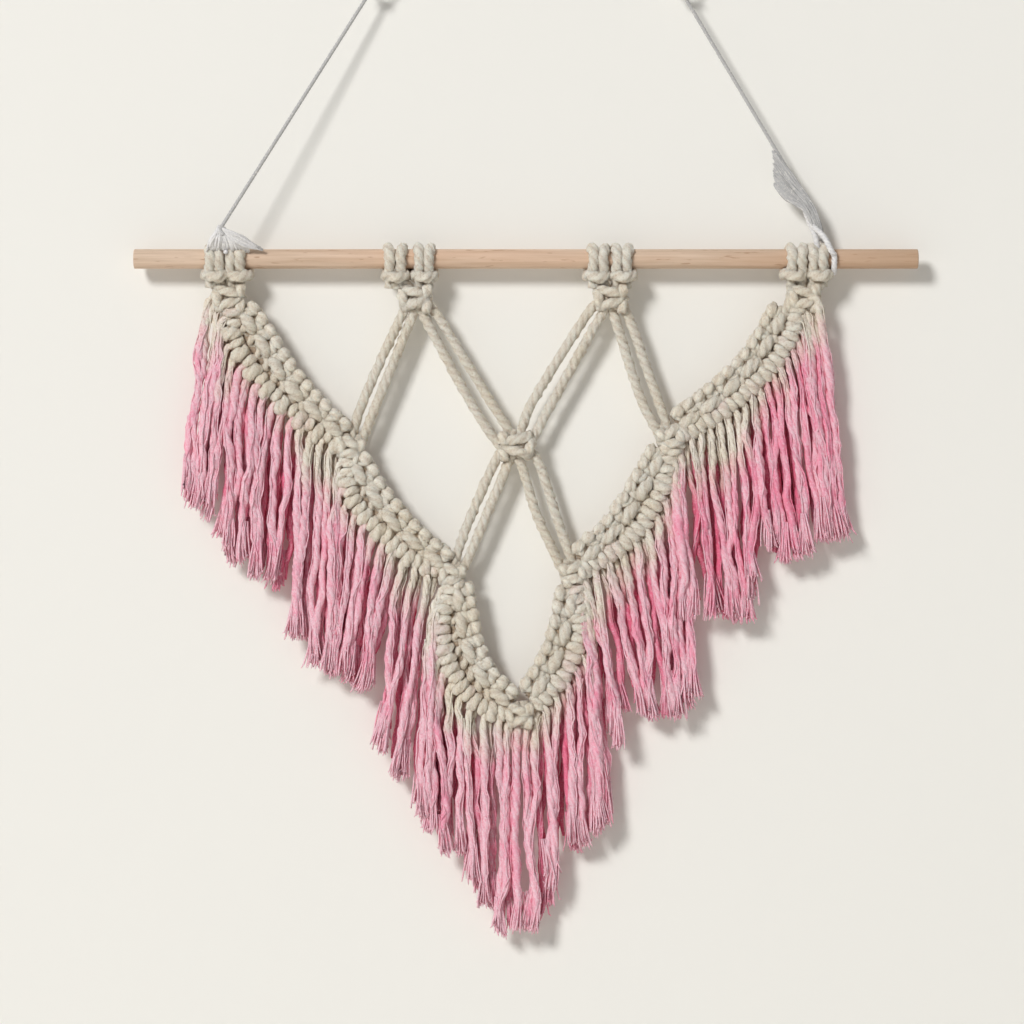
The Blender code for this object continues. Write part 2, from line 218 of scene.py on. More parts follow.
def make_piece(name, groups):
    """Welds groups of (profile, cords, relief) into one mesh with its fibre attributes."""
    whole = bmesh.new()
    for profile, cords, relief in groups:
        curve = bpy.data.curves.new(name, "CURVE")
        curve.dimensions = "3D"
        curve.bevel_mode = "OBJECT"
        curve.bevel_object = profile.item
        straight, notes, centres, scales = [], [], [], []
        for number, cord in enumerate(cords):
            count = len(cord.route)
            spline = curve.splines.new("POLY")
            spline.points.add(count - 1)
            rows = np.ones((count, 4))
            rows[:, :3] = np.array([place(*point) for point in cord.route])
            spline.points.foreach_set("co", rows.ravel())
            spline.points.foreach_set("radius", cord.radius * MM)
            spline.points.foreach_set("tilt", cord.turn)
            angle = profile.angles[None, :] + cord.turn[:, None]
            reach = profile.radii[None, :] * cord.radius[:, None]
            along = distances(cord.route) + CORD_SHIFT * number + TONE_SHIFT * cord.tone
            # the crease value marks painted shade: the creases between plies, and all of a shaded
            # cord
            crease = np.maximum(profile.creases[None, :], cord.shade)
            straight.append(
                three_each(reach * np.cos(angle), reach * np.sin(angle), along[:, None]))
            notes.append(three_each(crease, cord.dye[:, None], cord.tone))
            centres.append(np.repeat(rows[:, :3], len(profile.angles), axis=0))
            scales.append(fibre_relief(count, len(profile.angles), relief).reshape(-1, 1))
        item = add_object(name, curve)
        depsgraph = bpy.context.evaluated_depsgraph_get()
        mesh = bpy.data.meshes.new_from_object(item.evaluated_get(depsgraph))
        spots = np.empty(3 * len(mesh.vertices))
        mesh.vertices.foreach_get("co", spots)
        middle = np.concatenate(centres)
        spots = middle + (spots.reshape(-1, 3) - middle) * np.concatenate(scales)
        mesh.vertices.foreach_set("co", spots.ravel())
        for title, values in (("straight", straight), ("cord", notes)):
            layer = mesh.attributes.new(title, "FLOAT_VECTOR", "POINT")
            layer.data.foreach_set("vector", np.concatenate(values).astype(np.float32).ravel())
        whole.from_mesh(mesh)
        bpy.data.objects.remove(item, do_unlink=True)
        bpy.data.curves.remove(curve)
        bpy.data.meshes.remove(mesh)
    bmesh.ops.holes_fill(whole, edges=[e for e in whole.edges if e.is_boundary], sides=0)
    bmesh.ops.recalc_face_normals(whole, faces=whole.faces)
    piece = add_mesh(name, whole)
    piece.data.shade_smooth()
    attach(piece, "root")
    print(name, "triangles:", sum(len(face.vertices) - 2 for face in piece.data.polygons))
    return piece


# %% [markdown]
# ## Cotton and its dye
# Cotton cord is matte. Its colour comes from fine fibres along the plies and from patches where
# it is a little warmer; the creases between plies are painted darker, as shade. The fibres are a
# noise stretched along the straight space of the cord. The fringe was dipped in pink dye: it
# turns from cream to pink over the first centimetres, and the dye took unevenly, in pale and deep
# patches.

# %% Small helpers for node trees
# A socket knows its own node tree, so most helpers need no tree.
def put(made, **values):
    """Sets or links input sockets by name, where an underscore stands for a space."""
    for name, value in values.items():
        feed(made.inputs[name.replace("_", " ")], value)


def feed(socket, value):
    """Links an input socket to another node's output, or sets it to a plain value."""
    if isinstance(value, bpy.types.NodeSocket):
        socket.id_data.links.new(value, socket)
    else:
        socket.default_value = value


def node(tree, kind, **inputs):
    """A node of a kind with some of its input sockets set or linked."""
    made = tree.nodes.new("ShaderNode" + kind)
    put(made, **inputs)
    return made


def new_material(name, roughness, sheen=0.0):
    """A material with its shader; uniform values go straight on the shader's sockets."""
    material = bpy.data.materials.new(name)
    material.use_nodes = True
    shader = material.node_tree.nodes["Principled BSDF"]
    put(shader, Roughness=roughness, Sheen_Weight=sheen, Sheen_Roughness=0.5,
        Specular_IOR_Level=0.25)
    return material, material.node_tree, shader


def scaled(vector, scale):
    return node(vector.id_data, "Mapping", Vector=vector, Scale=scale).outputs["Vector"]


def noise(vector, scale, detail=2.0, roughness=0.5):
    return node(vector.id_data, "TexNoise", Vector=vector, Scale=scale, Detail=detail,
                Roughness=roughness).outputs["Fac"]


def spread(value, low, high, to_low=0.0, to_high=1.0):
    """Maps low..high to to_low..to_high and clamps."""
    made = node(value.id_data, "MapRange", Value=value, From_Min=low, From_Max=high,
                To_Min=to_low, To_Max=to_high)
    made.clamp = True
    return made.outputs["Result"]


def maths(operation, first, second):
    made = node(first.id_data, "Math")
    made.operation = operation
    feed(made.inputs[0], first)
    feed(made.inputs[1], second)
    return made.outputs[0]


def coats(colour, *over):
    """A colour under coats of others, each given as its share and its colour."""
    for share, coat in over:
        made = node(share.id_data, "Mix")
        made.data_type = "RGBA"
        feed(made.inputs[0], share)
        for socket, shown in ((made.inputs[6], colour), (made.inputs[7], coat)):
            feed(socket, (*shown, 1.0) if isinstance(shown, tuple) else shown)
        colour = made.outputs[2]
    return colour


print("helpers ready")

# %% Cotton cord, plain or dipped
CREAM = (0.94, 0.885, 0.77)
CREAM_WARM = (0.9, 0.82, 0.67)
CREAM_LIGHT = (1.0, 0.95, 0.87)
# painted shade for ply creases, shaded cores and nooks, and the colour of dark streaks and specks
CREAM_SHADE_AND_MARKS = (0.46, 0.3, 0.175)
PINK = (1.0, 0.42, 0.55)
PINK_PALE = (1.0, 0.63, 0.71)
# deep dye patches, and painted shade on the fringe's back layer
PINK_DEEP_AND_SHADE = (0.88, 0.17, 0.3)
# painted shade: the colour of the hidden fringe layer behind the others
PINK_PAINTED_SHADE = (0.72, 0.19, 0.28)
PINK_LIGHT = (1.0, 0.82, 0.84)
# on the dyed part: painted shade for creases, cores and nooks, and its dark streaks and specks
PINK_SHADE_AND_MARKS = (0.84, 0.12, 0.22)
DYE_START, DYE_FULL = 8.0, 30.0  # mm along a cord; a noise makes the edge ragged
DYE_RAGGED = 24.0


def cotton_material(
        name, cream=CREAM, warm_and_shade=CREAM_WARM, cream_shade_and_marks=CREAM_SHADE_AND_MARKS, dipped=False,
        ply_crease_shade=0.24, bump_depth=0.0024, softness=0.3, by_tone=False):
    """Cotton; by_tone lets each cord's tone choose between cream and the second colour, which on
    the twine is grey painted shade.
    """
    material, tree, shader = new_material(name, 0.92, sheen=0.04 if dipped else 0.15)
    put(shader, Subsurface_Weight=softness, Subsurface_Radius=(1.0, 0.85, 0.75),
        Subsurface_Scale=0.0014)
    straight, notes = node(tree, "Attribute"), node(tree, "Attribute")
    straight.attribute_name, notes.attribute_name = "straight", "cord"
    straight = straight.outputs["Vector"]
    crease, stained, tone = node(tree, "SeparateXYZ", Vector=notes.outputs["Vector"]).outputs
    where = node(tree, "TexCoord").outputs["Object"]
    fibres = noise(scaled(straight, (2.0, 2.0, 0.3)), 1.0, 3.0)
    fine = noise(scaled(straight, (1.1, 1.1, 0.8)), 1.0, 3.0, 0.7)
    flecks = noise(where, 1000.0, 2.0)
    # for the twine the tone greys the cord, as painted shade; for cotton a noise picks warmer
    # patches
    warm_and_shade_share = tone if by_tone else spread(noise(where, 45, 2), 0.4, 0.7)
    # pale pink stains where dye touched a cord that hangs above the dip
    stain = maths("MULTIPLY", spread(stained, -900, -899),
                  spread(noise(where, 62, 2), 0.56, 0.72, 0, 0.3))
    colour = coats(cream, (warm_and_shade_share, warm_and_shade), (stain, PINK_PALE))
    # one dark colour serves for fibre streaks and specks, and for painted shade in ply creases,
    # on shaded cores and in nooks
    shade_and_marks, light, nooks = cream_shade_and_marks, CREAM_LIGHT, 0.45
    if dipped:
        put(shader, Sheen_Tint=(1, 0.55, 0.65, 1))
        ragged = maths("MULTIPLY", noise(where, 120, 3), DYE_RAGGED)
        depth = spread(maths("ADD", stained, ragged), DYE_START, DYE_FULL)
        # painted shade: a deeper tone, given to the fringe's back and hidden layers, turns a cord
        # deeper and darker pink
        cloud = maths("ADD", noise(where, 70, 3, 0.6), spread(tone, 0, 1, -0.22, 0.22))
        pink = coats(
            PINK_PALE, (spread(cloud, 0.38, 0.6), PINK), (spread(cloud, 0.62, 0.88), PINK_DEEP_AND_SHADE),
            (spread(tone, 0.6, 1, 0, 0.75), PINK_DEEP_AND_SHADE), (spread(tone, 1.1, 2), PINK_PAINTED_SHADE))
        colour = coats(colour, (depth, pink))
        shade_and_marks, light, nooks = coats(cream_shade_and_marks, (depth, PINK_SHADE_AND_MARKS)), PINK_LIGHT, 0.75
    # nooks between cords are darker, because little light gets in and the cloth glows there
    open_air = node(tree, "AmbientOcclusion", Distance=0.0045)
    open_air.samples = 6
    colour = coats(
        colour, (spread(fibres, 0.32, 0.5, 0.24, 0), shade_and_marks),
        # painted shade in the creases between plies
        (spread(crease, 0.2, 1, 0, ply_crease_shade), shade_and_marks),
        # painted shade on cores and on cords that only show through gaps
        (spread(crease, 1, 1.8, 0, 0.75), shade_and_marks),
        (spread(flecks, 0.55, 0.7, 0, 0.34), shade_and_marks),
        (spread(flecks, 0.3, 0.45, 0.4, 0), light),
        (spread(open_air.outputs["AO"], 0.1, 0.55, nooks, 0), shade_and_marks))
    height = maths("ADD", maths("MULTIPLY", fibres, 0.4), maths("MULTIPLY", fine, 0.6))
    bump = node(tree, "Bump", Height=height, Strength=0.9, Distance=bump_depth)
    put(shader, Base_Color=colour, Normal=bump.outputs["Normal"])
    return material


cotton = cotton_material("cotton_cord_cream")
dipped_cotton = cotton_material(
    "cotton_cord_dipped", dipped=True, ply_crease_shade=0.2, bump_depth=0.0016, softness=0.12)
# painted shade: the twine's second colour is a grey that a high tone gives to shaded cords
twine_cotton = cotton_material(
    "twine_white", (0.9, 0.88, 0.87), (0.47, 0.46, 0.45), (0.52, 0.5, 0.49), ply_crease_shade=0.15,
    bump_depth=0.0008, softness=0.0, by_tone=True)
print("cotton materials:", cotton.name, dipped_cotton.name, twine_cotton.name)


def dress(piece, material, slot, *nodes):
    """Gives a piece its material and hides the CAD nodes it stands for; the slot is not used."""
    piece.data.materials.append(material)
    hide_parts(*nodes)


def rope_piece(name, cords, *nodes):
    """A dressed piece of cream cotton cords."""
    dress(make_piece(name, [(three_ply, cords, ROPE_RELIEF)]), cotton, "cotton_cord", *nodes)


# %% [markdown]
# ## The hanging twine
# Two taut legs of thin twine go up from the dowel, each to a knotted loop for its own hook.
# A taut cord is straight, so its route needs only its two ends.

# %% Twine legs and their loops
TWINE_RADIUS = 1.0
TWINE_LAY = 6.5
EYE_SPREAD = 157.0
EYE_REACH = (6.0, 8.1)  # half width and half height of a loop's centre line, mm


def twine(points, radius=TWINE_RADIUS, tone=0.5):
    return twisted(points, radius, TWINE_LAY, 0.8, tone)


def twine_loop(side):
    """A knotted loop round its hook, with the twine's short end beside the knot."""
    middle = side * EYE_SPREAD / 2
    across, up = EYE_REACH
    eye = [(middle + across * sin(a), 0.0, -HANG_TO_DOWEL - up * cos(a))
           for a in (radians(195 + 330 * step / 12) for step in range(13))]
    foot = up - HANG_TO_DOWEL
    wraps = [(middle + 2.0 * cos(a), 1.9 * sin(a), foot + 0.8 * a / tau)
             for a in (tau * step / 8 for step in range(21))]
    end = [(middle + 1.6 * side, -1.0, foot + 1.0), (middle + 3.6 * side, -1.4, foot + 0.4),
           (middle + 5.2 * side, -0.8, foot + 1.6)]
    return [twine(eye), twine(wraps), twine(end, 0.9)]


LEG_STARTS = {"left": (-155.2, -12.6, -14.4), "right": (141.6, -0.2, -31.9)}
LEG_TOP_DROP = 10.6 - HANG_TO_DOWEL
LEG_TOPS = {"left": (-80.0, -0.2, LEG_TOP_DROP), "right": (79.9, 0.0, LEG_TOP_DROP)}
for side, sign in (("left", -1), ("right", 1)):
    ends = LEG_STARTS[side], LEG_TOPS[side]
    middle = tuple((a + b) / 2 for a, b in zip(*ends))
    # painted shade: a tone of 0.9 greys the taut legs, as if shaded
    leg_cord = twine([ends[0], middle, ends[1]], tone=0.9)
    leg = make_piece(f"twine_leg_{side}_cord", [(three_ply, [leg_cord], 0.0)])
    dress(leg, twine_cotton, "hanging_twine", f"twine_leg_{side}")
    loop = make_piece(f"twine_loop_{side}_knot", [(three_ply, twine_loop(sign), 0.0)])
    dress(loop, twine_cotton, "hanging_twine", f"twine_loop_{side}")

# %% [markdown]
# ## The twine's ties on the dowel
# On the left the twine goes round the dowel, and its frayed end spreads over the first head.
# On the right it is a noose, and its frayed end lies along the leg. A frayed end is a fan of
# single yarns.

# %% Ties
def around_dowel(x, start, end, reach, drift, count=9):
    """Points round the dowel, by degrees from its top toward the front."""
    turns = [radians(start + (end - start) * step / (count - 1)) for step in range(count)]
    return [(x + drift * step / (count - 1), -reach * sin(turn), -reach * cos(turn))
            for step, turn in enumerate(turns)]


rng = random.Random(11)
FAN_STEP = 2.5


def fan(middles, spreads, count, size, tones):
    """Loose yarns that run together through points and part by each point's spread."""
    yarns = []
    for _ in range(count):
        share = rng.uniform(-1.0, 1.0)
        stray = [[rng.gauss(0.0, 0.3) for _ in range(3)] for _ in middles]
        points = np.array(middles) + np.array(spreads) * share + np.array(stray)
        points[-1] = points[-2] + (points[-1] - points[-2]) * rng.uniform(0.7, 1.1)
        route = smooth_route(points, FAN_STEP)
        radius = np.full(len(route), size * rng.uniform(0.7, 1.2))
        radius[-1] *= 0.5
        yarns.append(single_yarn(route, radius, UNDYED, rng.uniform(*tones)))
    return yarns


left_tie = [
    twine([*around_dowel(-153.6, -170, 60, 6.6, 1.2), (-152.6, -10, -3)], 1.2, 0.2),
    twine([LEG_STARTS["left"], (-154.8, -12.6, -13.2), (-153.4, -12.8, -11.4)], 1.1, 0.6),
]
left_fans = (
    fan([(-154.8, -11, -15.4), (-153.4, -12.2, -11.6), (-152, -10.8, -7.8),
         (-151.6, -6.6, -3.4)],
        [(1.2, 0.6, 0.5), (4.2, 0.9, 1), (8.6, 1.2, 0.8), (10.8, 1.2, 0.4)], 120, 0.62,
        (0, 0.25))
    + fan([(-155.4, -11.4, -15.2), (-149.8, -12.2, -11.4), (-143.6, -11, -8.4),
           (-135.6, -8, -5)],
          [(0.8, 0.6, 0.6), (1, 1, 2), (0.6, 1.2, 2.2), (1.6, 0.6, 0.9)], 90, 0.55,
          (0, 0.4)))
right_tie = [
    twine([(145, -2.6, -17.4), (148.6, -4.4, -14.2), (152, -7.2, -10), (155, -8.6, -4),
           *around_dowel(156.8, 78, 280, 6.9, 0.4, 7), (155.6, 8, -5.4),
           (151, 6.4, -10.6), (146.6, 3, -15.6)], 1.55, 0),
    twine([(142.4, -1.4, -24.4), (145.2, -2, -17), (147.6, -3.2, -10.6),
           (148.8, -3.4, -4.4)], 1.6, 0.15),
    twine([LEG_STARTS["right"], (142.6, -0.8, -26), (144.6, -1, -20)], 1.3, 0.6),
]
# painted shade: high tones grey the right fan, as if it lay in shadow
right_fan = fan([(149.6, -2.6, -9.8), (148.2, -2.6, -16.8), (144.4, -2.8, -25.2),
                 (140.6, -2.8, -30), (134.2, -2.4, -36.2), (126.6, -1.8, -45.4)],
                [(1.2, 0.4, 0.2), (2.3, 0.8, 0), (2, 1, -1.6), (1.4, 1, -3.6),
                 (1.6, 1, -6.4), (-0.4, 0.7, -9.8)], 210, 0.5, (0.72, 0.98))
TIES = (("twine_tie_left", "_knot", left_tie, left_fans),
        ("twine_tie_right", "_noose", right_tie, right_fan))
for name, form, tie, fans in TIES:
    piece = make_piece(name + form, [(three_ply, tie, 0.05), (yarn, fans, 0.0)])
    dress(piece, twine_cotton, "hanging_twine", name)

# %% [markdown]
# ## Heads on the dowel
# Each head is two lark's heads and one square knot under them. In a lark's head the folded
# cord makes a bar under the dowel, goes up behind the dowel, over its top and down in front,
# and both legs leave behind the bar. The outer legs then tie a square knot round the inner
# two: one cord crosses in front twice, the other crosses behind and wraps over it.

# %% Square knot tables
# Points that a cord passes: across and down are shares of the knot's half width and height,
# and front is a share of its depth toward the viewer.
Pass = namedtuple("Pass", "across front down")


def passes(*rows):
    return [Pass(*row) for row in rows]


OVER = passes(
    (-0.95, 0.2, 0), (-0.5, 0.85, 0.16), (0.1, 1.1, 0.24), (0.65, 0.65, 0.32),
    (1.08, -0.05, 0.48), (0.65, 0.6, 0.66), (0.05, 1.05, 0.76), (-0.5, 0.75, 0.84),
    (-0.9, 0.05, 1))
UNDER = passes(
    (1, 0.7, 0), (0.95, 1, 0.14), (0.85, 0.5, 0.34), (0.3, -0.6, 0.42), (-0.4, -0.7, 0.36),
    (-1, -0.05, 0.26), (-1, 0.85, 0.42), (-0.92, 0.9, 0.64), (-0.8, 0.2, 0.84),
    (-0.2, -0.6, 0.9), (0.45, -0.55, 0.88), (0.98, 0.05, 0.78), (0.92, 0.85, 0.92),
    (0.85, 0.4, 1.08))


def knot_points(table, top, half_width, height, depth, mirrored=False, lean=0.0):
    """A cord's points through a square knot whose top middle is given, in mm."""
    side = -1.0 if mirrored else 1.0
    upright, slant = cos(radians(lean)), sin(radians(lean))
    points = []
    for step in table:
        across = side * step.across * half_width
        down = step.down * height
        points.append((top[0] + across * upright - down * slant, top[1] - step.front * depth,
                       top[2] + across * slant + down * upright))
    return points


print("passes in a square knot:", len(OVER), "and", len(UNDER))

# %% Lark's heads
LEG_REACH = 6.1  # mm from the dowel's axis to the legs' centre line
BAR_FRONT = 6.6
BAR_HALF = 4.0
BAR_SAG = 0.9


def lark_head(middle, legs_at, drop, tone):
    """One lark's head: the cord from the foot of its left leg to the foot of its right."""
    def leg(x, outward):
        up = [(x, -1.4, drop + 6.0, 2.6), (x, -2.4, drop + 2.0, 2.5), (x, -5.0, 5.6, 2.8)]
        ring = around_dowel(x - outward * 0.5, 92.0, -80.0, LEG_REACH, outward * 2.4, 6)
        wrap = [(*point, 3.15 - 0.85 * press) for point, press in
                zip(ring, (0.15, 0.0, 0.7, 1.0, 0.8, 0.6))]
        turn = middle + outward * (BAR_HALF + 0.7)
        under = [(turn, 5.6, 5.2, 2.5), (turn + outward * 0.5, 1.4, drop + 0.2, 2.6),
                 (turn, -3.4, drop - 0.6, 2.8)]
        return up + wrap + under

    left, right = leg(legs_at[0], -1), leg(legs_at[1], 1)
    front = [(middle - BAR_HALF * 0.5, -BAR_FRONT, drop + BAR_SAG * 0.6, 2.95),
             (middle, -BAR_FRONT - 0.5, drop + BAR_SAG, 3.0),
             (middle + BAR_HALF * 0.5, -BAR_FRONT, drop + BAR_SAG * 0.6, 2.95)]
    return twisted(left + front + right[::-1], step=1.1, tone=tone)


Head = namedtuple("Head", "a_legs a_bar b_legs b_bar bar_drop knot_x knot_half")
HEADS = (
    Head((-161, -156), -158, (-150.6, -145.6), -146.4, 8.6, -151.4, 6.2),
    Head((-69.6, -63.4), -66.2, (-54.4, -49.4), -51.8, 8.9, -56.6, 6.4),
    Head((34.2, 39.6), 36.6, (46.2, 51.6), 49.5, 8.8, 43.2, 6.4),
    Head((135.4, 140.8), 136.8, (146.2, 151.4), 149.4, 8.2, 142, 6),
)
KNOT_TOP = 14.6
KNOT_HEIGHT = 10.6
KNOT_DEPTH = 4.2
for number, head in enumerate(HEADS, 1):
    top = (head.knot_x, -0.6, KNOT_TOP)
    size = (head.knot_half, KNOT_HEIGHT, KNOT_DEPTH)
    outer_left = (head.a_legs[0] + 1.0, -1.6, 12.4)
    outer_right = (head.b_legs[1] - 0.6, -1.6, 12.4)
    over = [outer_left] + knot_points(OVER, top, *size)
    under = [outer_right] + knot_points(UNDER, top, *size)
    # painted shade: the inner cords inside the knot are darkened, as shaded
    inner = [[(leg, -1.4, 11.5), (head.knot_x + off, -1.4, 16.0), (head.knot_x + off, -1.0, 26.0)]
             for leg, off in ((head.a_legs[1], -2.4), (head.b_legs[0], 2.4))]
    to_band = [[(135.6, -1.4, 12.0), (134.8, -2.0, 20.0), (132.4, -1.6, 26.5),
                (128.0, 0.4, 32.0)]] if number == 4 else []
    cords = [lark_head(head.a_bar, head.a_legs, head.bar_drop, 0.1 * number),
             lark_head(head.b_bar, head.b_legs, head.bar_drop, 0.1 * number + 0.4),
             twisted(over, 2.75, tone=0.3), twisted(under, 2.75, tone=0.6, start_turn=1.0),
             *(twisted(points, 2.7, shade=0.6) for points in inner),
             *(twisted(points, 2.6, tone=0.8) for points in to_band)]
    rope_piece(f"head_{number}_cords", cords,
               f"lark_head_{number}a", f"lark_head_{number}b", f"head_knot_{number}")

# %% [markdown]
# ## The net
# Pairs of cords run from the middle heads to the bands and cross at one square knot.
# They hang almost straight, with a slight bow. Each is one twisted cord from knot to knot.

# %% Net strands
# Both ends go on into the knots that hold them.
NET = {
    "upper_left_a": ((-60.5, 24), (-64, 30), (-82, 70), (-89, 91), (-90, 98)),
    "upper_left_b": ((-56.5, 24), (-58.2, 30), (-74.6, 70), (-83, 91), (-86, 98)),
    "middle_left_a": ((-55.5, 23), (-51.6, 30), (-28.9, 72), (-15, 93), (-9, 97)),
    "middle_left_b": ((-51.5, 22), (-45, 29), (-19.2, 71), (-9, 87), (-7, 94)),
    "middle_right_a": ((38.5, 22), (31.4, 28), (4.4, 71), (-2, 86), (-4, 93)),
    "middle_right_b": ((42.5, 23), (37.6, 30), (14, 72), (4.4, 90), (0, 96)),
    "upper_right_a": ((43.5, 23), (45.4, 30), (58.2, 70), (67, 88), (70, 95)),
    "upper_right_b": ((47.5, 22), (52, 29), (64.6, 64), (72.4, 86), (75, 93)),
    "lower_left_a": ((-10, 97), (-15.6, 103), (-29.6, 135), (-36.6, 155), (-38, 160)),
    "lower_left_b": ((-7, 98), (-9.8, 106), (-20.2, 131), (-30.4, 155), (-34, 161)),
    "lower_right_a": ((-5, 98), (-2, 106), (5.8, 131), (16.8, 155), (20, 161)),
    "lower_right_b": ((-1, 97), (6.2, 103), (15.4, 131), (23.4, 154), (25, 160)),
}
for number, (strand, line) in enumerate(NET.items()):
    points = [(x, 0.6, drop) for x, drop in line]
    for end in (0, -1):
        points[end] = (line[end][0], 1.6, line[end][1])
    cord = twisted(points, 2.6, tone=(0.37 * number) % 1.0, start_turn=0.9 * number)
    rope_piece(f"net_{strand}_cord", [cord], f"net_{strand}")

# %% Centre knot and the knots where net and bands meet
Knot = namedtuple("Knot", "place x top half_width height mirrored lean")
KNOTS = (
    Knot("centre", -4.6, 89.6, 7.2, 11.2, True, 0),
    Knot("left_upper", -87.8, 92.2, 4.6, 9.6, False, 18),
    Knot("left_lower", -36.8, 157, 4.4, 9.2, False, 12),
    Knot("bottom", -3.2, 228, 5, 9.4, False, 0),
    Knot("right_lower", 23.2, 156, 4.4, 9.2, True, -12),
    Knot("right_upper", 72.6, 87, 4.6, 9.6, True, -18),
)
for knot in KNOTS:
    top = (knot.x, -0.2, knot.top)
    size = (knot.half_width, knot.height, 4.1, knot.mirrored, knot.lean)
    # painted shade: the fillers only show through gaps and are darkened, as shaded
    fillers = [[(knot.x + off, 1.0, knot.top - 2.0), (knot.x + off, -1.2, knot.top + 5.0),
                (knot.x + off, 1.0, knot.top + knot.height + 1.0)] for off in (-2.2, 2.2)]
    cords = [twisted(knot_points(OVER, top, *size), 2.7, tone=0.3),
             twisted(knot_points(UNDER, top, *size), 2.7, tone=0.7),
             *(twisted(points, 2.6, shade=0.7) for points in fillers)]
    rope_piece(f"knot_{knot.place}_cords", cords, f"knot_{knot.place}")

# %% [markdown]
# ## The two bands
# Each band is three sagging scallops of two rows. The inner row is a chain of square knots:
# from the front it shows one long bump a knot on the fringe side and two short ones on the
# other. The outer row is double half hitches, cords wound twice round a carrier, which then
# hang down as the fringe. Both are real routes repeated along the row.

# %% Row centre lines
Row = namedtuple("Row", "side tier kind line knots")
ROWS = (
    Row("left", 1, "outer", ((-149, 26), (-149.4, 41), (-134.4, 64), (-114, 83.2),
        (-92.4, 97)), 17),
    Row("left", 1, "inner", ((-143, 25), (-136, 34), (-121, 58), (-106, 75), (-91, 89)), 6),
    Row("left", 2, "outer", ((-90, 103), (-91, 114), (-86, 127), (-72, 142), (-57, 154),
        (-42, 160)), 16),
    Row("left", 2, "inner", ((-86, 101), (-76, 117), (-64, 133), (-51, 145), (-39, 155)), 5),
    Row("left", 3, "outer", ((-38, 168), (-43, 184), (-42, 199), (-34.5, 216.5), (-22.5, 229),
        (-8, 233)), 16),
    Row("left", 3, "inner", ((-32, 166), (-30, 182), (-26, 199), (-18, 214), (-6, 225)), 5),
    Row("right", 1, "outer", ((138, 25), (136, 37), (128, 51), (112, 68), (94, 82), (77, 90)),
        20),
    Row("right", 1, "inner", ((129, 25), (121, 40), (110, 55), (95, 69), (76, 83)), 6),
    Row("right", 2, "outer", ((74, 97), (71, 111), (64, 128), (50, 146), (27, 160)), 17),
    Row("right", 2, "inner", ((67, 97), (58, 114), (45, 134), (26, 152)), 5),
    Row("right", 3, "outer", ((25, 168), (28, 184), (26, 197), (19, 213), (3, 230)), 14),
    Row("right", 3, "inner", ((21, 168), (18, 184), (12, 203), (0, 222)), 4),
)


def row_frame(line, outward_x):
    """Even points along a row in the hanging's plane, and the outward direction at each."""
    route = smooth_route([(x, 0.0, drop) for x, drop in line], 0.5)
    slope = np.gradient(route, axis=0)
    slope /= np.linalg.norm(slope, axis=1)[:, None]
    outward = np.stack([slope[:, 2], 0.0 * slope[:, 0], -slope[:, 0]], axis=1)
    if outward[len(outward) // 2, 0] * outward_x < 0:
        outward = -outward
    return route, outward


def on_row(row_line, share, across, front):
    """A point at a share of the row's length, moved across toward the fringe and frontward."""
    route, outward = row_line
    index = min(max(share, 0.0), 1.0) * (len(route) - 1)
    low = min(int(index), len(route) - 2)
    part = index - low
    point = route[low] * (1 - part) + route[low + 1] * part
    away = outward[low] * (1 - part) + outward[low + 1] * part
    return point + away * across + np.array([0.0, -front, 0.0])


row_lines = {(row.side, row.tier, row.kind):
             row_frame(row.line, -1 if row.side == "left" else 1) for row in ROWS}
print("row lengths, mm:", {key: len(line[0]) // 2 for key, line in row_lines.items()})

# %% Square-knot chains, the inner rows
# across is a share of the chain's half width, toward the fringe. The cord is pressed thin
# where it dives behind and swells where it lies in front.
CHAIN_UNDER = passes(
    (-0.72, 0.2, 0), (-0.88, 0.6, 0.1), (-0.9, 1.15, 0.2), (-0.8, 0.75, 0.31),
    (-0.3, -0.4, 0.35), (0.3, -0.85, 0.26), (0.98, -0.15, 0.15), (1.04, 0.75, 0.27),
    (0.98, 1.1, 0.5), (1.04, 0.8, 0.75), (1, -0.15, 0.89), (0.3, -0.85, 0.77), (-0.5, -0.4, 0.6),
    (-0.88, 0.45, 0.59), (-0.92, 1.15, 0.69), (-0.84, 0.7, 0.8), (-0.74, 0.25, 0.9))
CHAIN_OVER = passes(
    (0.45, 0.1, 0), (0.1, 0.55, 0.16), (-0.3, 0.55, 0.3), (-1.05, -0.1, 0.42),
    (-1.1, -0.15, 0.58), (-0.3, 0.6, 0.72), (0.1, 0.55, 0.86))
CHAIN_HALF = 3.4
CHAIN_DEPTH = 3.0


def knot_chain(row, line):
    """The two working cords of a chain of square knots, and its core."""
    under, over = [], []
    for knot in range(row.knots):
        grow = rng.uniform(0.94, 1.08)
        for cord, table in ((under, CHAIN_UNDER), (over, CHAIN_OVER)):
            for step in table:
                spot = on_row(line, (knot + step.down) / row.knots,
                              step.across * CHAIN_HALF * grow, step.front * CHAIN_DEPTH * grow)
                swell = max(0.0, step.front) * (0.85 if step.across > 0 else 0.75)
                cord.append((*spot, 2.35 + swell * grow))
    core = [on_row(line, share, 0.4, -0.6) for share in np.linspace(0.0, 1.0, 8)]
    return [twisted(under, tone=0.3), twisted(over, tone=0.7),
            twisted(core, 3.2, step=2.0, shade=INSIDE)]


print("passes in a chain's knot:", len(CHAIN_UNDER), "and", len(CHAIN_OVER))

# %% Double half hitches, the outer rows
HITCH_ACROSS = 2.8
HITCH_DEPTH = 2.7
HITCH_STEPS = 10
HITCH_ADVANCE = 0.12  # the front half's share of a wrap's way along the row


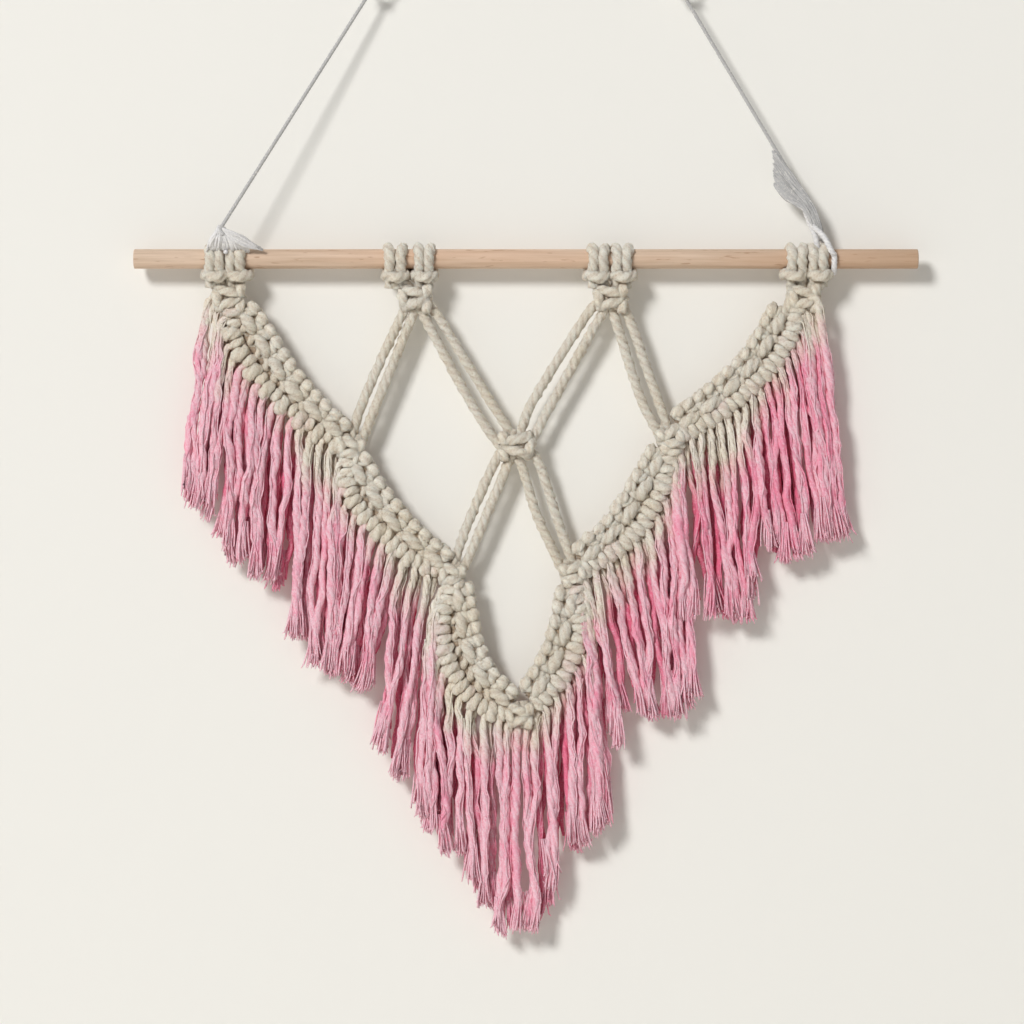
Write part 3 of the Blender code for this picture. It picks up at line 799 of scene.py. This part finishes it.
def hitches(row, line):
    """Cords wound round the carrier: a full wrap, then a smaller one that locks it."""
    points = []
    # how much smaller the locking wrap is: clearly in the top left row, hardly on the right
    uneven = 0.15 if row.side == "right" else 1.0 if row.tier == 1 else 0.45
    for wrap in range(row.knots):
        locking = wrap % 2
        reach = rng.uniform(0.93, 1.07) * (1.0 - 0.3 * uneven if locking else 1.04)
        shift = rng.uniform(-0.3, 0.3) + (-1.4 if locking else 0.6) * uneven
        size = (2.95 - 0.4 * uneven if locking else 2.95 + 0.5 * uneven) * rng.uniform(0.95, 1.07)
        for step in range(HITCH_STEPS):
            turn = tau * step / HITCH_STEPS
            front = turn < pi
            ahead = HITCH_ADVANCE * turn / pi if front \
                else HITCH_ADVANCE + (1.0 - HITCH_ADVANCE) * (turn / pi - 1.0)
            spot = on_row(line, (wrap + 0.1 + ahead) / row.knots,
                          shift - HITCH_ACROSS * reach * cos(turn), HITCH_DEPTH * sin(turn))
            points.append((*spot, size if front else 2.2))
    core = [on_row(line, share, 0.0, 0.0) for share in np.linspace(0.0, 1.0, 10)]
    return [twisted(points, tone=0.4, dye=-30.0 - distances(np.array(points))[-1]),
            twisted(core, 2.8, step=2.0, shade=INSIDE)]


def between_rows(side, tier, knots):
    """The cords that pass from the chain to the outer row: small lumps deep in the gap."""
    def between(share, across, front):
        return sum(on_row(row_lines[side, tier, kind], share, across, front)
                   for kind in ("outer", "inner")) / 2

    lumps = []
    count = 16 * knots
    for step in range(count):
        share = 0.02 + 0.96 * step / count
        turn = tau * step / 8 + 0.5 * sin(step * 0.7)
        across = -1.5 * cos(turn) - 0.3
        front = 0.1 + 1.6 * sin(turn)
        lumps.append((*between(share, across, front), 1.9 + 0.3 * sin(step * 0.9)))
    # painted shade: the lumps and the backing behind them are darkened, as cords deep in the gap
    backing = [between(share, 0.0, -2.6) for share in np.linspace(0.02, 0.98, 10)]
    return [twisted(lumps, tone=0.5, shade=0.8), twisted(backing, 3.4, step=2.0, shade=INSIDE)]


for row in ROWS:
    line = row_lines[row.side, row.tier, row.kind]
    if row.kind == "outer":
        cords = hitches(row, line)
    else:
        cords = knot_chain(row, line) + between_rows(row.side, row.tier, row.knots)
    name = f"band_{row.side}_{row.tier}_{row.kind}"
    rope_piece(name + "_knots", cords, name)

# %% [markdown]
# ## The fringe
# Each hitched cord leaves the band from behind its outer row, bends down and hangs free.
# There are three layers, pale in front and deep pink behind, where the deeper pink of the back
# layers is painted shade; the ends are cut in steps down to the point of the V. A hanging cord
# loosens toward its end, so its twist slows, and the cut end opens into a brush of fine yarns.
# Each cord's dye starts at its own height.

# %% Where the cords start and end
# first, last: shares of the row where the cords begin and stop; cords: how many in a layer;
# deeper: added to their tone; lean: how far the first and last end hang to the side of their
# starts; cream: (share of the row, mm of undyed cord) pairs; leads: cords beside the row;
# tips: (x, drop) of the longest ends
Comb = namedtuple("Comb", "side tier first last cords deeper lean cream leads tips")
# share: where along the row a lead heads off; tip: the x of its end
Lead = namedtuple("Lead", "share start tip cream")
COMBS = (
    Comb("left", 1, 0.06, 0.97, 14, 0, (-14, -5),
        ((0, 12), (0.15, 10), (0.3, 2), (0.65, 0), (0.8, 10), (0.9, 26), (1, 24)),
        (Lead(0, (-160.6, 0.5, 21), -174.6, 14), Lead(0, (-158.6, 0.5, 23), -172.6, 16),
         Lead(0, (-156.6, 0.5, 26), -170.6, 16), Lead(0, (-154, 0.5, 30), -168, 18)),
        ((-174, 121), (-166, 131), (-159, 141), (-152, 157), (-144, 161), (-137, 174),
        (-128, 168), (-119, 202), (-110, 210), (-98, 216))),
    Comb("left", 2, 0.02, 0.95, 11, -0.1, (-5, -14),
        ((0, 18), (0.12, 2), (0.5, 0), (0.7, 8), (1, 16)), (),
        ((-98, 215), (-92, 219), (-86, 226), (-80, 231), (-74, 256), (-68, 271), (-61, 276),
        (-54, 288), (-48, 291), (-42, 300))),
    Comb("left", 3, 0.02, 0.98, 11, 0, (-10, 2),
        ((0, 30), (0.2, 16), (0.4, 6), (0.6, 12), (1, 14)),
        (Lead(1, (-8.6, 0.5, 233), -7.6, 8), Lead(1, (-3.8, 0.5, 235.5), -2.8, 7),
         Lead(1, (1, 0.5, 236), 2, 8), Lead(1, (5.4, 0.5, 234), 6.4, 9)),
        ((-52, 290), (-45, 300), (-39, 307), (-33, 308), (-27, 324), (-18, 343), (-11, 347),
        (-2, 344), (12, 345))),
    Comb("right", 3, 0.02, 0.98, 9, 0, (10, 2),
        ((0, 24), (0.3, 8), (0.6, 4), (1, 8)), (),
        ((40, 297), (31, 299), (24, 307), (17, 309), (11, 340), (4, 344), (-1, 344))),
    Comb("right", 2, 0.02, 0.96, 10, 0, (6, 12),
        ((0, 10), (0.3, 6), (0.7, 10), (1, 22)),
        (Lead(1, (26.5, -1, 163), 39, 18), Lead(1, (30, -1.6, 162), 45, 14)),
        ((82, 232), (77, 237), (71, 240), (64, 241), (57, 240), (50, 241), (45, 258),
        (41, 268), (32, 288))),
    Comb("right", 1, 0, 0.96, 17, 0.3, (14, 8),
        ((0, 16), (0.12, 8), (0.22, 2), (0.45, 4), (0.6, 16), (0.8, 20), (1, 22)),
        (Lead(0, (147, -5, 20), 159, 18), Lead(0, (144.6, 0.5, 25), 158.6, 14),
         Lead(1, (74.5, -1.6, 94.5), 77.5, 16), Lead(1, (77.5, -1, 93.5), 83, 12)),
        ((166, 129), (160, 145), (152, 146), (144, 155), (136, 158), (127, 155), (118, 160),
        (113, 189), (104, 186), (94, 188), (84, 185))),
)
print("longest cord ends at", max(drop for comb in COMBS for _, drop in comb.tips), "mm down")

# %% One fringe cord
FRINGE_STEP = 1.6
KINKS = (0.11, 0.22, 0.33, 0.44, 0.55, 0.66, 0.77, 0.88, 1.0)
DEEPEST = 1.0  # cords of a deeper tone lie hidden, are painted dark as shade, and have no loose yarns
LOOSE_FIBRES = 2
BRUSH_YARNS = 30


def loose_fibre(cord):
    """A fine yarn that wanders over the surface of a cord."""
    spots = list(range(rng.randrange(1, 6), len(cord.route) - 2, 3))
    angle = rng.uniform(pi, tau)
    points = []
    for spot in spots:
        angle += rng.gauss(0.0, 0.35)
        reach = cord.radius[spot] * rng.uniform(0.85, 1.28)
        points.append(cord.route[spot] + reach * np.array([cos(angle), sin(angle), 0.0]))
    size = rng.uniform(0.26, 0.52) * np.ones(len(points))
    return single_yarn(points, size, cord.dye[spots],
                       min(max(cord.tone + rng.uniform(-0.3, 0.2), 0.0), 0.9))


def brush(cord):
    """The fine yarns of a cut end: they part a little above it and end unevenly."""
    tip = cord.route[-1]
    heading = tip - cord.route[-8]
    heading /= np.linalg.norm(heading)
    lean = rng.gauss(0.0, 0.8)
    yarns = []
    for _ in range(BRUSH_YARNS):
        off = np.array([rng.gauss(0, 1.25), rng.gauss(0, 0.9), 0.0])
        drift = np.array([rng.gauss(lean, 1.0), rng.gauss(0, 0.6), 0.0])
        reach = rng.uniform(-2.5, 4.0)
        size = rng.uniform(0.32, 0.6)
        points = [tip - heading * 18.0 + off * 0.6, tip - heading * 11.0 + off * 0.9,
                  tip - heading * 5.0 + off * 1.15 + drift * 0.2,
                  tip + off * 1.3 + drift * 0.6 + heading * reach * 0.3,
                  tip + heading * reach + off * 1.35 + drift]
        yarns.append(single_yarn(points, size * np.array([0.8, 1.0, 1.0, 0.95, 0.5]),
                                 cord.dye[-1], max(0.0, cord.tone - 0.25)))
    return yarns


def fringe_cord(start, away, tip, depth, tone, cream):
    """A loosening cord from the band to its tip, its loose fibres and its cut end."""
    drop = tip[1] - start[2]
    wave = rng.uniform(0.3, 0.9)
    phase = rng.uniform(0.0, tau)
    rate = rng.uniform(7.0, 13.0)
    points = [start - away * 3.4, start, start + away * 1.8 + np.array([0.0, 0.0, 3.4])]
    first = points[-1]
    kink = 0.0
    for share in KINKS:
        kink = 0.7 * kink + rng.gauss(0.0, 0.75)
        x = first[0] + (tip[0] - first[0]) * share ** 0.85 + kink
        x += wave * sin(phase + share * drop / rate) * min(1.0, 3.0 * share)
        y = first[1] + (depth - first[1]) * min(1.0, share * 2.5) + rng.gauss(0.0, 0.35)
        y += 0.4 * sin(phase * 2 + share * drop / 12.0)
        points.append((x, y, first[2] + (tip[1] - first[2]) * share))
    route = smooth_route(points, FRINGE_STEP)
    along = distances(route)
    left = along[-1] - along
    lay = rng.uniform(15.0, 22.0)
    turn = phase - tau * along / lay * (1.0 - 0.3 * along / along[-1])
    lumps = 0.07 * np.sin(phase + along / rng.uniform(1.2, 2.4)) \
        + 0.1 * np.sin(2 * phase + along / rng.uniform(4.0, 7.0))
    thick = rng.uniform(1.55, 2.0) if tone > 0.5 else rng.uniform(1.75, 2.35)
    radius = thick * (1.0 + lumps) * np.clip((left + 0.6) / 15.0, 0.08, 1.0) ** 0.5
    cord = Cord(route, radius, turn, along - cream, tone)
    if tone > DEEPEST:
        return cord, []
    return cord, [*(loose_fibre(cord) for _ in range(LOOSE_FIBRES)), *brush(cord)]


print("bends in a cord:", len(KINKS))

# %% All the combs
def from_table(table, where):
    """The value of a table of (place, value) pairs at a place between them."""
    return float(np.interp(where, *zip(*sorted(table))))


# share: of the comb's cords; front: how far toward the viewer a cord starts; depth: how far
# back it hangs; shorter, tone: least and most
Layer = namedtuple("Layer", "name share front depth shorter tone")
FRONT = Layer("front", 1.05, 1.4, -2.8, (0, 8), (0, 0.5))
# painted shade: the back layer's deeper tones and the hidden layer's darkest tones stand for the
# shade behind the front cords
LAYERS = (Layer("deep", 1.3, -2.6, 5, (8, 20), (1.4, 2)),
          Layer("back", 1, -1.6, 2, (1, 14), (0.5, 0.95)), FRONT)
CLUMP = 10.5  # mm from one clump of hanging cords to the next
CLUMP_SHIFT = 1.6  # mm that cords move sideways to gather in it
SIDES = (-173.6, 165.6)  # no cord ends beyond these
BRUSH_REACH = 4.0  # mm that a brush hangs below its cord
DEEP_CREAM = 5.0
for comb in COMBS:
    line = row_lines[comb.side, comb.tier, "outer"]
    starts = [(lead.share, np.array(lead.start), FRONT) for lead in comb.leads]
    for layer in LAYERS:
        count = round(comb.cords * layer.share)
        for number in range(count):
            share = (number + (0.5 if layer.name == "back" else 0.0)) / (count - 0.5)
            row_share = comb.first + (comb.last - comb.first) * share
            starts.append((share, on_row(line, row_share, 4.0, layer.front), layer))
    cords, yarns = [], []
    for number, (share, start, layer) in enumerate(starts):
        away = on_row(line, share, 1.0, 0.0) - on_row(line, share, 0.0, 0.0)
        lean = comb.lean[0] + (comb.lean[1] - comb.lean[0]) * min(1.0, share * 1.4)
        lead = comb.leads[number] if number < len(comb.leads) else None
        x = (lead.tip if lead else start[0] + lean) + rng.uniform(-2.4, 2.4)
        x += CLUMP_SHIFT * sin(start[0] / CLUMP * tau + comb.tier)
        x = min(max(x, SIDES[0]), SIDES[1])
        depth = layer.depth + rng.uniform(-1.2, 1.2)
        shorter = 0.0 if lead else rng.uniform(*layer.shorter)
        drop = from_table(comb.tips, x) - shorter - BRUSH_REACH
        tone = rng.uniform(*layer.tone)
        cream = lead.cream + rng.uniform(-2.0, 5.0) if lead \
            else from_table(comb.cream, share) + rng.uniform(-8.0, 6.0)
        if layer.name == "deep":
            cream = DEEP_CREAM
        else:
            tone = min(max(tone + comb.deeper, 0.0), DEEPEST)
        cord, ends = fringe_cord(start, away, (x, drop), depth, tone, cream)
        cords.append(cord)
        yarns += ends
    name = f"fringe_{comb.side}_{comb.tier}"
    piece = make_piece(name + "_cords", [(loose_ply, cords, FRINGE_RELIEF), (yarn, yarns, 0.0)])
    dress(piece, dipped_cotton, "dyed_fringe", name)

# %% [markdown]
# ## The dowel
# The CAD dowel already has the right shape, so it only gets its wood. Beech is pale and warm,
# with fine grain along the rod and short dark flecks. Its right end is a little darker.

# %% Beech
BEECH = (0.555, 0.4, 0.285)
BEECH_LIGHT = (0.75, 0.575, 0.44)
BEECH_WARM = (0.7, 0.42, 0.27)
BEECH_FLECK = (0.33, 0.17, 0.09)
BEECH_END = (0.45, 0.28, 0.17)


def beech_material():
    material, tree, shader = new_material("beech_wood", 0.55)
    where = node(tree, "TexCoord").outputs["Object"]
    grain = noise(scaled(where, (14.0, 420.0, 420.0)), 1.0, 4.0, 0.6)
    clouds = noise(scaled(where, (9, 60, 60)), 1, 2)
    flecks = noise(scaled(where, (130, 900, 900)), 1, 1)
    along = node(tree, "SeparateXYZ", Vector=where).outputs["X"]
    colour = coats(
        BEECH, (spread(grain, 0.35, 0.65), BEECH_LIGHT),
        (spread(clouds, 0.45, 0.7, 0, 0.35), BEECH_WARM),
        (spread(flecks, 0.66, 0.74, 0, 0.55), BEECH_FLECK),
        (spread(along, 0.05, 0.2, 0, 0.72), BEECH_END))
    bump = node(tree, "Bump", Height=grain, Strength=0.25, Distance=0.0003)
    put(shader, Base_Color=colour, Normal=bump.outputs["Normal"])
    return material


dowel = frame["nodes"]["dowel"]
dowel.data.materials.clear()
dowel.data.materials.append(beech_material())

# %% [markdown]
# ## Wall, floor and light
# The hanging is seen against a pale wall, close enough for soft shadows. The wall is one
# sheet that only shows its front, so the hanging can also be looked at from behind.
# A large soft light stands high on the left, a weak one behind, and the pale room fills the
# shadows.

# %% Stage
def plain_material(name, colour):
    material, _, shader = new_material(name, 0.9)
    put(shader, Base_Color=(*colour, 1.0))
    return material


def one_sided(material):
    """Lets light and sight through from the back, and shadow rays both ways."""
    tree = material.node_tree
    through = maths("MAXIMUM", node(tree, "NewGeometry").outputs["Backfacing"],
                    node(tree, "LightPath").outputs["Is Shadow Ray"])
    clear = node(tree, "BsdfTransparent")
    mix = node(tree, "MixShader")
    for socket, value in zip(mix.inputs, (
            through, tree.nodes["Principled BSDF"].outputs[0], clear.outputs[0])):
        feed(socket, value)
    put(tree.nodes["Material Output"], Surface=mix.outputs[0])
    return material


def stage_sheet(name, size, location, turn, material):
    shape = bmesh.new()
    bmesh.ops.create_grid(shape, x_segments=1, y_segments=1, size=size)
    bmesh.ops.rotate(shape, matrix=turn, verts=shape.verts)
    bmesh.ops.translate(shape, vec=location, verts=shape.verts)
    item = add_mesh(name, shape)
    item.data.materials.append(material)


WALL_BEHIND = 13.0
WALL_COLOUR = (0.86, 0.84, 0.79)
stage_sheet("wall", 3.0, place(0.0, WALL_BEHIND, 150.0),
            Matrix.Rotation(radians(90.0), 3, "X"),
            one_sided(plain_material("wall_paint", WALL_COLOUR)))
stage_sheet("floor", 5.0, place(0.0, 0.0, 900.0), Matrix.Identity(3),
            plain_material("floor_paint", WALL_COLOUR))


LIT_POINT = Vector((0.0, 0.0, -0.3))


def soft_light(name, location, size, power):
    lamp = bpy.data.lights.new(name, "AREA")
    lamp.shape = "DISK"
    lamp.size = size
    lamp.energy = power
    item = add_object(name, lamp)
    item.location = location
    item.rotation_euler = (LIT_POINT - item.location).to_track_quat("-Z", "Y").to_euler()


soft_light("key", (-4.0, -7.0, 3.5), 2.1, 550.0)
soft_light("back_fill", (0.9, 2.4, 0.6), 1.6, 18.0)
world = bpy.data.worlds.new("room")
world.use_nodes = True
put(world.node_tree.nodes["Background"], Color=(0.92, 0.95, 1.0, 1.0), Strength=0.25)
scene.world = world
scene.view_settings.view_transform = "Standard"

# %% Remove the bevel profiles and write the sizes
for profile in (three_ply, loose_ply, yarn):
    bpy.data.objects.remove(profile.item, do_unlink=True)
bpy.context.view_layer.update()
total = sum(len(face.vertices) - 2 for item in scene.objects if item.type == "MESH"
            for face in item.data.polygons)
print("triangles in all:", total)
